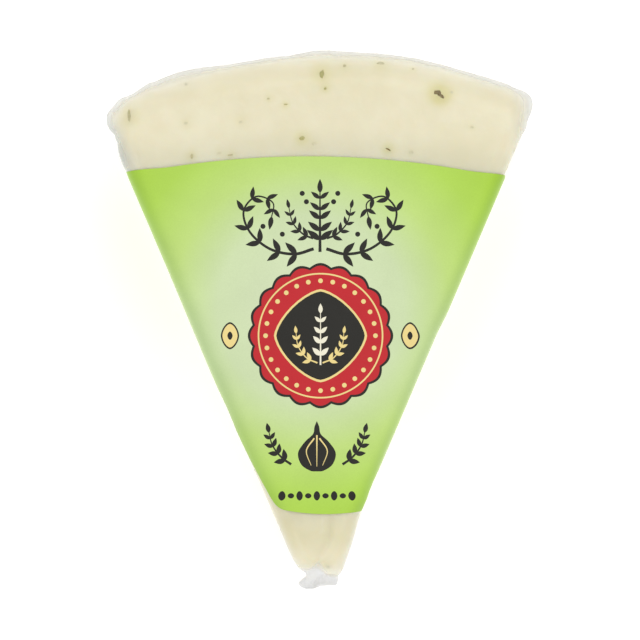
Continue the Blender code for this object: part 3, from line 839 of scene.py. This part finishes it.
def both_sides(line, middle=0.0):
    """A line and its mirror image; an upright line stands alone."""
    if len({x for x, _ in line}) == 1:
        return [line]
    return [line, [(2 * middle - x, y) for x, y in line]]


def turns(count):
    """Angles spread evenly round a circle."""
    return spaced(0.0, tau, count)[:-1]


def disc(centre, radius):
    """A circle."""
    count = max(round(tau * radius / PRINT_STEP), LEAST_DISC_STEPS)
    return [Vector(centre) + toward(angle) * radius for angle in turns(count)]


def scallops(centre, radius):
    """A circle with a wavy rim of round lobes."""
    loop = []
    for angle in turns(LOBES * SCALLOP_STEPS):
        lift = abs(cos(angle * LOBES / 2))
        loop.append(Vector(centre) + toward(angle) * (radius - LOBE_DEPTH * (1 - lift)))
    return loop


def lozenge(centre, half_width, half_height, roundness):
    """A diamond with softened corners and bowed sides."""
    loop = []
    for angle in turns(LOZENGE_STEPS):
        x, y = [copysign(abs(reach) ** roundness, reach) for reach in (cos(angle), sin(angle))]
        loop.append(Vector(centre) + Vector((x * half_width, y * half_height)))
    return loop


def rims(spots):
    """The two rims of a strip of (middle, half width), one running on and the other back."""
    onward = [middle - half for middle, half in spots]
    return onward, [middle + half for middle, half in spots[::-1]]


def leaf(base, angle, length, width):
    """A pointed leaf that grows from its base in one direction."""
    along = toward(angle)
    spots = []
    for share in spaced(0.0, 1.0, LEAF_STEPS)[1:-1]:
        half = width / 2 * sin(pi * share**LEAF_FULLNESS)
        spots.append((base + along * length * share, along.orthogonal() * half))
    right, left = rims(spots)
    return [base, *right, base + along * length, *left]


def stem(line, width):
    """A stem along a line, thinner toward its end."""
    spots = []
    last = len(line) - 1
    for i, point in enumerate(line):
        across = (line[min(i + 1, last)] - line[max(i - 1, 0)]).orthogonal().normalized()
        spots.append((point, across * (width / 2 * (1 - STEM_TAPER * i / last))))
    right, left = rims(spots)
    return right + left


def spray(points, width, leaf_pairs, length, breadth, lean):
    """A stem with pairs of leaves, smaller toward its end, and a leaf on its end."""
    line = bent_curve(points)
    shapes = [stem(line, width)]
    for pair in range(1, leaf_pairs + 1):
        place = round(pair / (leaf_pairs + BARE_END) * (len(line) - 2))
        ahead = line[place + 1] - line[place]
        size = 1 - SPRAY_SHRINK * pair / leaf_pairs
        for side in SIDES:
            angle = atan2(ahead.y, ahead.x) + side * radians(lean)
            shapes.append(leaf(line[place], angle, length * size, breadth * size))
    angle = atan2(*(line[-1] - line[-2]).yx)
    return shapes + [leaf(line[-2], angle, length * TIP_LEAF, breadth * TIP_LEAF)]


def sprays(rows, middle=0.0):
    """The sprays of a table, each with its mirror image."""
    shapes = []
    for ink, points, *sizes in rows:
        for line in both_sides(points, middle):
            shapes += [(ink, shape) for shape in spray(line, *sizes)]
    return shapes


def garland():
    """Two scrolled leafy stems and an upright sprig, above the rosette."""
    berries = [(side * x, y) for x, y in GARLAND_BERRIES for side in SIDES]
    return sprays(GARLAND) + [(BLACK, disc(berry, BERRY_RADIUS)) for berry in berries]


def rosette():
    """The red rosette with its beads, and the black lozenge with a sprig on it."""
    shapes = [(ink, scallops(ROSETTE, radius)) for ink, radius in ROSETTE_RIMS]
    shapes += [(ink, disc(ROSETTE, radius)) for ink, radius in ROSETTE_RINGS]
    for angle in turns(BEADS):
        shapes.append((CREAM, disc(Vector(ROSETTE) + toward(angle) * BEAD_CIRCLE, BEAD_RADIUS)))
    for ink, reach in ROSETTE_LOZENGES:
        shapes.append((ink, lozenge(ROSETTE, reach, reach, LOZENGE_BOW)))
    shapes += sprays(CREST)
    for side in SIDES:
        spot = (side * SIDE_MARK_X, ROSETTE[1])
        shapes += [(ink, lozenge(spot, *halves, SIDE_MARK_BOW)) for ink, halves in SIDE_MARKS]
    return shapes


def garlic():
    """A garlic bulb between two sprigs, and a row of small marks under it."""
    middle = BULB_SIDE[0][0]
    half, other = [bent_curve(line) for line in both_sides(BULB_SIDE, middle)]
    shapes = [(BLACK, half + other[-2:0:-1])]
    for clove in CLOVE_LINES:
        for line in both_sides(clove, middle):
            shapes.append((CREAM, stem(bent_curve(line), CLOVE_WIDTH)))
    shapes += sprays(BULB_SPRIGS, middle)
    for i in range(MARK_COUNT):
        spot = (MARK_ROW[0] + MARK_STEP * (i - (MARK_COUNT - 1) / 2), MARK_ROW[1])
        shapes.append((BLACK, lozenge(spot, MARK_WIDTH, MARK_HEIGHTS[i % 2], MARK_BOW)))
    return shapes


def left_round(loop):
    """The same loop, turned to run against a clock's hands."""
    area = sum(a.x * b.y - b.x * a.y for a, b in pairs(loop))
    return loop if area > 0 else loop[::-1]


def label_sheet():
    """The label laid flat: its points, its triangles and the ink of each triangle."""
    shapes = [(GREEN, label_outline())]
    for ink, loop in garland() + rosette() + garlic():
        shapes.append((ink, left_round([Vector((p.x - middle_x(p.y), p.y)) for p in loop])))
    points, faces, inks = [], [], []
    for ink, loop in shapes:
        faces.append(list(range(len(points), len(points) + len(loop))))
        points += loop
        inks.append(ink)
    fixed = KDTree(len(points))
    for i, point in enumerate(points):
        fixed.insert(point.to_3d(), i)
    fixed.balance()
    y = LABEL_FOOT_Y + LABEL_STEP / 2
    while y < LABEL_TOP_Y:
        for side in SIDES:
            level, reach = flat_edge(side, y), label_reach(side, y)
            places = [0.0] if side == RIGHT else []
            places += steps_between(0.0, level, LABEL_STEP)
            places += spaced(level, level + EDGE_GIRTH, EDGE_STEPS)
            places += steps_between(level + EDGE_GIRTH, max(reach, level + EDGE_GIRTH), WALL_STEP)
            for place in places:
                point = Vector((side * place, y))
                ends = edge_y(label_foot, point.x), edge_y(label_top, point.x)
                clear = min(reach - place, y - ends[0], ends[1] - y)
                if clear > CLEAR_OF_EDGE and fixed.find(point.to_3d())[2] > CLEAR_OF_PRINT:
                    points.append(point)
        y += LABEL_STEP
    cut = delaunay_2d_cdt(points, [], faces, INSIDE_ONLY, MERGE_DISTANCE)
    flat, triangles, sources = cut[0], cut[2], cut[5]
    return flat, triangles, [inks[max(source)] if source else GREEN for source in sources]


def painted_edge_shade(point):
    """How much painted shade darkens the label near its folds over the upper edges, from 0 to 1."""
    clear = max(1 - abs(point.x - side_x(side, point.y)) / EDGE_SHADE_REACH[side] for side in SIDES)
    return smooth(clear) * smooth((point.z - EDGE_SHADE_FROM) / EDGE_SHADE_FADE)


def label_mesh():
    """The label's sheet given its thickness, held just off the film."""
    mesh = bmesh.new()
    flat, faces, inks = label_sheet()
    edges = {edge for face in faces for edge in pairs(face)}
    rim = sorted((a, b) for a, b in edges if (b, a) not in edges)
    on_rim = {a for a, _ in rim}
    gaps = [LABEL_RIM_GAP if i in on_rim else LABEL_GAP for i in range(len(flat))]
    edge_shade = mesh.verts.layers.float.new("edge_shade")
    outer, inner = [
        [mesh.verts.new(off_skin(*p, gap + lift)) for p, gap in zip(flat, gaps)]
        for lift in (LABEL_THICKNESS, 0.0)
    ]
    for vertex in outer:
        # painted shade along the upper edges
        vertex[edge_shade] = painted_edge_shade(vertex.co)
    for face, ink in zip(faces, inks):
        mesh.faces.new([outer[i] for i in face]).material_index = ink
        mesh.faces.new([inner[i] for i in reversed(face)]).material_index = BACKING
    for a, b in rim:
        mesh.faces.new((outer[b], outer[a], inner[a], inner[b])).material_index = BACKING
    return mesh


# Cheese and herbs


def painted_label_shade(point):
    """How much painted shade darkens the face next to the label, from 0 to 1."""
    past_top = smooth((point.y - label_top(point.x)) / LABEL_SHADE_TO_RIND)
    past_foot = smooth((LABEL_FOOT_Y - point.y) / LABEL_SHADE_TO_TIP)
    return (1 - past_top - past_foot) * smooth((point.z - UPPER_FACE_FROM) / UPPER_FACE_FADE)


def photo_spot(px, py):
    """The place in millimetres that a column and row of the photograph show."""
    return Vector((px - PHOTO_MIDDLE, PHOTO_MIDDLE - py)) * MM_PER_PIXEL


# Where flecks tint the cheese: (place, spread, amount)
TINTED = [
    (photo_spot(px, py), STAIN_SPREAD * (long_px + wide_px) / 2 * MM_PER_PIXEL, STAINS[kind])
    for kind, px, py, long_px, wide_px, _ in SEEN_HERBS
]


def stained(point):
    """How much the herbs tint the cheese round them here."""
    total = sum(amount * bell((point.xy - spot).length, spread) for spot, spread, amount in TINTED)
    toward_tip = smooth((TIP_STAIN_START - point.y) / TIP_STAIN_FADE)
    total += TIP_STAIN * toward_tip * smooth((point.y - TIP_STAIN_END) / TIP_STAIN_FADE)
    stripe = STRIPE_STAIN * toward_tip * bell(point.x - groove_x(point.y), STRIPE_WIDTH)
    total += stripe * smooth((point.y - STRIPE_END) / TIP_STAIN_FADE)
    return min(total, 1.0) * smooth((point.z - UPPER_FACE_FROM) / UPPER_FACE_FADE)


def cheese_mesh():
    """The cheese: the film's form, set in a little and softly uneven."""
    mesh = wedge_mesh(film=False)
    mesh.normal_update()
    painted_shade_and_light, stain_and_crease_shade = mesh.verts.layers.float["painted_shade_and_light"], mesh.verts.layers.float["stain_and_crease_shade"]
    moved = []
    for vertex in mesh.verts:
        soft = noise.fractal(vertex.co * RELIEF_SCALE, *SOFT_NOISE, RELIEF_OCTAVES)
        moved.append(vertex.co - vertex.normal * (CHEESE_INSET + RELIEF * soft))
        # painted shade next to the label
        vertex[painted_shade_and_light] = painted_label_shade(vertex.co)
        vertex[stain_and_crease_shade] = stained(vertex.co)
    for vertex, co in zip(mesh.verts, moved):
        vertex.co = co
    return mesh


def laid(plan, normal):
    """A direction of the plan, laid on a slope."""
    return Vector((plan.x, plan.y, -plan.dot(normal.xy) / normal.z))


def flake(mesh, spot, normal, along, across, draw):
    """One fleck of herb: a thin ragged flake on the cheese."""
    count = draw.randint(*FLAKE_SIDES)
    start = draw.uniform(0, tau)
    rim, shelf = [], []
    for i in range(count):
        angle = start + tau * i / count
        reach = draw.uniform(*FLAKE_RAGGED)
        offset = along * cos(angle) + across * sin(angle)
        rim.append(mesh.verts.new(spot + offset * reach - normal * FLAKE_SINK))
        lift = draw.uniform(*FLAKE_LIFT)
        shelf.append(mesh.verts.new(spot + offset * reach * FLAKE_SHELF + normal * lift))
    top = mesh.verts.new(spot + normal * draw.uniform(*FLAKE_LIFT))
    under = mesh.verts.new(spot - normal * FLAKE_SINK)
    for (a, b), (c, d) in zip(pairs(rim), pairs(shelf)):
        mesh.faces.new((a, b, d, c))
        mesh.faces.new((c, d, top))
        mesh.faces.new((b, a, under))


def herb_meshes(cheese):
    """Flecks by kind: the photograph's, then others over the rest of the cheese."""
    tree = BVHTree.FromBMesh(cheese)
    draw = random.Random(HERB_SEED)
    meshes = {kind: bmesh.new() for kind in HERB_COLOURS}
    for kind, px, py, long_px, wide_px, turn in SEEN_HERBS:
        above = Vector((*photo_spot(px, py), 2 * THICKNESS))
        spot, normal, _, _ = tree.ray_cast(above, Vector((0, 0, -1)))
        ahead = toward(radians(turn)) * SEEN_GROWTH * MM_PER_PIXEL / 2
        along = laid(ahead * long_px, normal)
        across = laid(ahead.orthogonal() * wide_px, normal)
        flake(meshes[kind], spot, normal, along, across, draw)
    faces = list(cheese.faces)
    areas = [face.calc_area() for face in faces]
    count = round(sum(areas) / MM2_PER_CM2 * HERBS_PER_CM2)
    for face in draw.choices(faces, weights=areas, k=count):
        spot, normal = face.calc_center_median(), face.normal
        if normal.z > SEEN_FROM_ABOVE:
            continue
        kind = draw.choices(list(HERB_SHARES), weights=HERB_SHARES.values())[0]
        long = draw.uniform(*HERB_LENGTH) * draw.uniform(*HERB_LENGTH)
        slimness = draw.uniform(*HERB_SLIMNESS)
        spin = Quaternion(normal, draw.uniform(0, tau))
        along = spin @ normal.orthogonal().normalized() * long / 2
        flake(meshes[kind], spot, normal, along, normal.cross(along) * slimness, draw)
    for mesh in meshes.values():
        bmesh.ops.recalc_face_normals(mesh, faces=mesh.faces)
    return meshes


# Materials


class Finish:
    """A material whose nodes are added and joined in short."""

    def __init__(self, name):
        self.material = bpy.data.materials.new(name)
        self.material.use_nodes = True
        self.tree = self.material.node_tree
        self.tree.nodes.clear()
        self.place = self.add("TexCoord", output="Object")

    def feed(self, socket, value):
        """A socket set to a value, or joined to another node's output."""
        if isinstance(value, bpy.types.NodeSocket):
            self.tree.links.new(value, socket)
        else:
            socket.default_value = value

    def add(self, kind, inputs=None, output=0, **settings):
        """An output of a new node; its inputs and outputs go by name or number."""
        made = self.tree.nodes.new(f"ShaderNode{kind}")
        for name, value in settings.items():
            setattr(made, name, value)
        for name, value in (inputs or {}).items():
            self.feed(made.inputs[name], value)
        return made.outputs[output]

    def layer(self, name):
        """A layer of numbers that the mesh carries."""
        return self.add("Attribute", output="Fac", attribute_name=name)

    def noise(self, scale, detail=3.0, stretch=None, roughness=0.5):
        """Soft cloudy values; scale is in features per metre."""
        place = self.place
        if stretch:
            place = self.add("Mapping", {"Vector": place, "Scale": stretch})
        inputs = {"Vector": place, "Scale": scale, "Detail": detail, "Roughness": roughness}
        return self.add("TexNoise", inputs)

    def ramp(self, value, stops):
        """Colours along a value: (place, colour) stops."""
        colour = self.add("ValToRGB", {"Fac": value})
        elements = colour.node.color_ramp.elements
        while len(elements) < len(stops):
            elements.new(0.5)
        for element, (place, shade) in zip(elements, stops):
            element.position = place
            element.color = (*shade, 1.0)
        return colour

    def span(self, value, low, high, start=0.3, end=0.7):
        """A value moved from one range into another."""
        inputs = {"Value": value, "From Min": start, "From Max": end, "To Min": low, "To Max": high}
        return self.add("MapRange", inputs)

    def maths(self, operation, *values):
        return self.add("Math", dict(enumerate(values)), operation=operation)

    def tint(self, kind, factor, a, b):
        """Two colours mixed; the node's numbered sockets are those for colours."""
        return self.add("Mix", {0: factor, 6: a, 7: b}, 2, data_type="RGBA", blend_type=kind)

    def blend(self, share, a, b):
        """Two shaders mixed."""
        return self.add("MixShader", {0: share, 1: a, 2: b})

    def bump(self, height, depth):
        """A relief; depth in millimetres."""
        return self.add("Bump", {"Height": height, "Distance": depth * METRES_PER_MM})

    def surface(self, shader):
        output = self.tree.nodes.new("ShaderNodeOutputMaterial")
        self.feed(output.inputs["Surface"], shader)
        return self.material

    def solid(self, inputs):
        """The finished material with one shader and these inputs."""
        return self.surface(self.add("BsdfPrincipled", inputs))


def cheese_finish():
    """Creamy white paste: softly mottled, with light inside it, a faint grain and painted shade next
    to the label.
    """
    made = Finish("creamy_cheese")
    patches = made.noise(62.0, 3.0)
    blotches = made.noise(240.0, 4.0, roughness=0.55)
    mottling = made.maths("MULTIPLY_ADD", patches, 0.55, made.maths("MULTIPLY", blotches, 0.45))
    colour = made.ramp(mottling, CHEESE_COLOURS)
    # painted shade next to the label
    colour = made.tint("MULTIPLY", made.layer("painted_shade_and_light"), colour, LABEL_SHADE_COLOUR)
    colour = made.tint("MULTIPLY", made.layer("stain_and_crease_shade"), colour, STAIN_COLOUR)
    relief = made.maths("MULTIPLY_ADD", made.noise(1500.0, 4.0), 0.25, blotches)
    return made.solid({
        "Base Color": colour,
        "Roughness": made.span(blotches, 0.42, 0.62),
        "Specular IOR Level": 0.3,
        "Subsurface Weight": 0.5,
        "Subsurface Radius": (1.0, 0.75, 0.5),
        "Subsurface Scale": 0.0025,
        "Normal": made.bump(relief, 0.12),
    })


def herb_finish(name, colours):
    """Dried herb, uneven across each flake, with a dry crumpled surface."""
    made = Finish(name)
    shade = made.noise(1300.0, 3.0)
    return made.solid({
        "Base Color": made.ramp(shade, ((0.35, colours[0]), (0.65, colours[1]))),
        "Roughness": made.span(shade, 0.6, 0.85),
        "Specular IOR Level": 0.2,
        "Subsurface Weight": 0.3,
        "Subsurface Radius": (0.8, 0.8, 0.5),
        "Subsurface Scale": 0.0006,
        "Normal": made.bump(made.noise(2600.0, 4.0), 0.08),
    })


def film_finish():
    """Clear shrink film: glossy, milky where it is gathered, with small wrinkles; the gathered milk
    is partly painted light, and a crease gets painted shade.
    """
    made = Finish("clear_film")
    streaks = made.noise(420.0, 3.0, (1.0, 1.0, 0.25))
    milky = made.span(made.layer("haze"), 0.0, FILM_MILK, 0.0, 1.0)
    milky = made.maths("MULTIPLY", milky, made.span(streaks, 0.9, 1.05))
    inwards = [made.add("LightPath", output=kind) for kind in ("Is Shadow Ray", "Is Diffuse Ray")]
    shade = made.span(made.maths("MAXIMUM", *inwards), 1.0, HAZE_SHADE)
    cover = made.maths("MULTIPLY", made.maths("ADD", milky, FILM_BASE), shade)
    # painted shade of the crease on the left edge
    crease_shade = made.layer("stain_and_crease_shade")
    milk = made.tint("MULTIPLY", crease_shade, made.ramp(streaks, VEIL_COLOURS), CREASE_SHADE_COLOUR)
    veil = made.add("BsdfPrincipled", {
        # the gathered end's milk, partly painted light
        "Base Color": made.tint("MIX", made.layer("painted_shade_and_light"), milk, GATHERED_MILK_AND_LIGHT),
        "Roughness": made.span(streaks, 0.35, 0.55),
        "Normal": made.bump(made.noise(900.0, 2.0, (1.0, 1.0, 0.3)), 0.12),
    })
    wrinkles = made.bump(made.noise(210.0, 4.0), 0.35)
    gloss = made.add("BsdfAnisotropic", {
        "Color": (1.0, 1.0, 1.0, 1.0),
        "Roughness": made.span(streaks, 0.10, 0.2),
        "Normal": wrinkles,
    })
    share = made.add("Fresnel", {"IOR": 1.35, "Normal": wrinkles})
    body = made.blend(cover, made.add("BsdfTransparent"), veil)
    return made.surface(made.blend(made.maths("MINIMUM", share, FILM_GLOSS_MOST), body, gloss))


def ink_finish(name, colour=None):
    """Satin ink on soft film; the green, with no colour given, glows pale in the middle; painted
    shade darkens every ink near the upper edges.
    """
    made = Finish(name)
    cloud = made.noise(130.0, 3.0)
    speck = made.noise(3800.0, 2.0)
    if colour is None:
        centre = tuple(-c / GLOW_REACH for c in GLOW_CENTRE)
        scale = (1 / GLOW_REACH,) * 3
        inputs = {"Vector": made.place, "Location": centre, "Scale": scale}
        place = made.add("Mapping", inputs)
        glow = made.add("TexGradient", {"Vector": place}, "Fac", gradient_type="SPHERICAL")
        base = made.ramp(glow, GREEN_COLOURS)
    else:
        base = (*colour, 1.0)
    dotted = made.maths("MULTIPLY", made.span(cloud, 0.965, 1.02), made.span(speck, 0.975, 1.02))
    grey = made.add("CombineColor", {"Red": dotted, "Green": dotted, "Blue": dotted})
    # painted shade along the upper edges
    grey = made.tint("MULTIPLY", made.layer("edge_shade"), grey, EDGE_SHADE_COLOUR)
    return made.solid({
        "Base Color": made.tint("MULTIPLY", 1.0, base, grey),
        "Roughness": made.span(cloud, 0.36, 0.5),
        "Specular IOR Level": 0.3,
        "Coat Weight": 0.06,
        "Coat Roughness": 0.25,
        "Normal": made.bump(made.maths("MULTIPLY_ADD", speck, 0.03, cloud), 0.25),
    })


def floor_finish():
    """A plain white sweep that stays white under the wedge's soft shade."""
    made = Finish("white_sweep")
    return made.solid({
        "Base Color": made.ramp(made.noise(9.0, 2.0), FLOOR_COLOURS),
        "Roughness": 0.9,
        "Specular IOR Level": 0.0,
        "Emission Color": (1.0, 1.0, 1.0, 1.0),
        "Emission Strength": FLOOR_GLOW,
    })


# Stage


def make_floor():
    mesh = bmesh.new()
    bmesh.ops.create_grid(mesh, x_segments=4, y_segments=4, size=FLOOR_SIZE)
    floor = add_mesh("floor", mesh, [floor_finish()])
    floor.location.z = -FLOOR_DROP


def make_light(name, place, size, power, colour):
    """A large soft light that looks at the wedge."""
    data = bpy.data.lights.new(name, "AREA")
    data.shape = "DISK"
    data.size = size
    data.energy = power
    data.color = colour
    light = add_object(name, data)
    light.location = place
    light.rotation_euler = (-Vector(place)).to_track_quat("-Z", "Y").to_euler()
    light.visible_camera = False


def make_camera():
    """Straight above the wedge, with the rind at the top of the picture."""
    data = bpy.data.cameras.new("camera")
    data.sensor_width = SENSOR_WIDTH
    data.lens = LENS
    data.clip_start, data.clip_end = CLIP
    camera = add_object("camera", data)
    width = PHOTO_SIZE * MM_PER_PIXEL
    camera.location.z = (MID_HEIGHT + width * LENS / SENSOR_WIDTH) * METRES_PER_MM
    bpy.context.scene.camera = camera


def make_world():
    world = bpy.data.worlds.new("studio")
    world.use_nodes = True
    background = world.node_tree.nodes["Background"]
    background.inputs["Color"].default_value = WORLD_COLOUR
    background.inputs["Strength"].default_value = WORLD_STRENGTH
    bpy.context.scene.world = world
    bpy.context.scene.view_settings.view_transform = "Standard"


# Everything together


def main():
    wrapped = ("cheese_in_film", "wrapped_wedge")
    cheese = cheese_mesh()
    herbs = herb_meshes(cheese)
    place("cheese", cheese, [cheese_finish()], *wrapped)
    for kind, mesh in herbs.items():
        name = f"herbs_{kind}"
        place(name, mesh, [herb_finish(name, HERB_COLOURS[kind])], *wrapped)
    place("film", film_mesh(), [film_finish()], *wrapped)
    inks = [ink_finish("green_print")]
    inks += [ink_finish(f"{name}_print", colour) for name, colour in INK_COLOURS.items()]
    place("label_sheet", label_mesh(), inks, "label_print", "label")
    make_floor()
    for light in LIGHTS:
        make_light(*light)
    make_camera()
    make_world()


main()
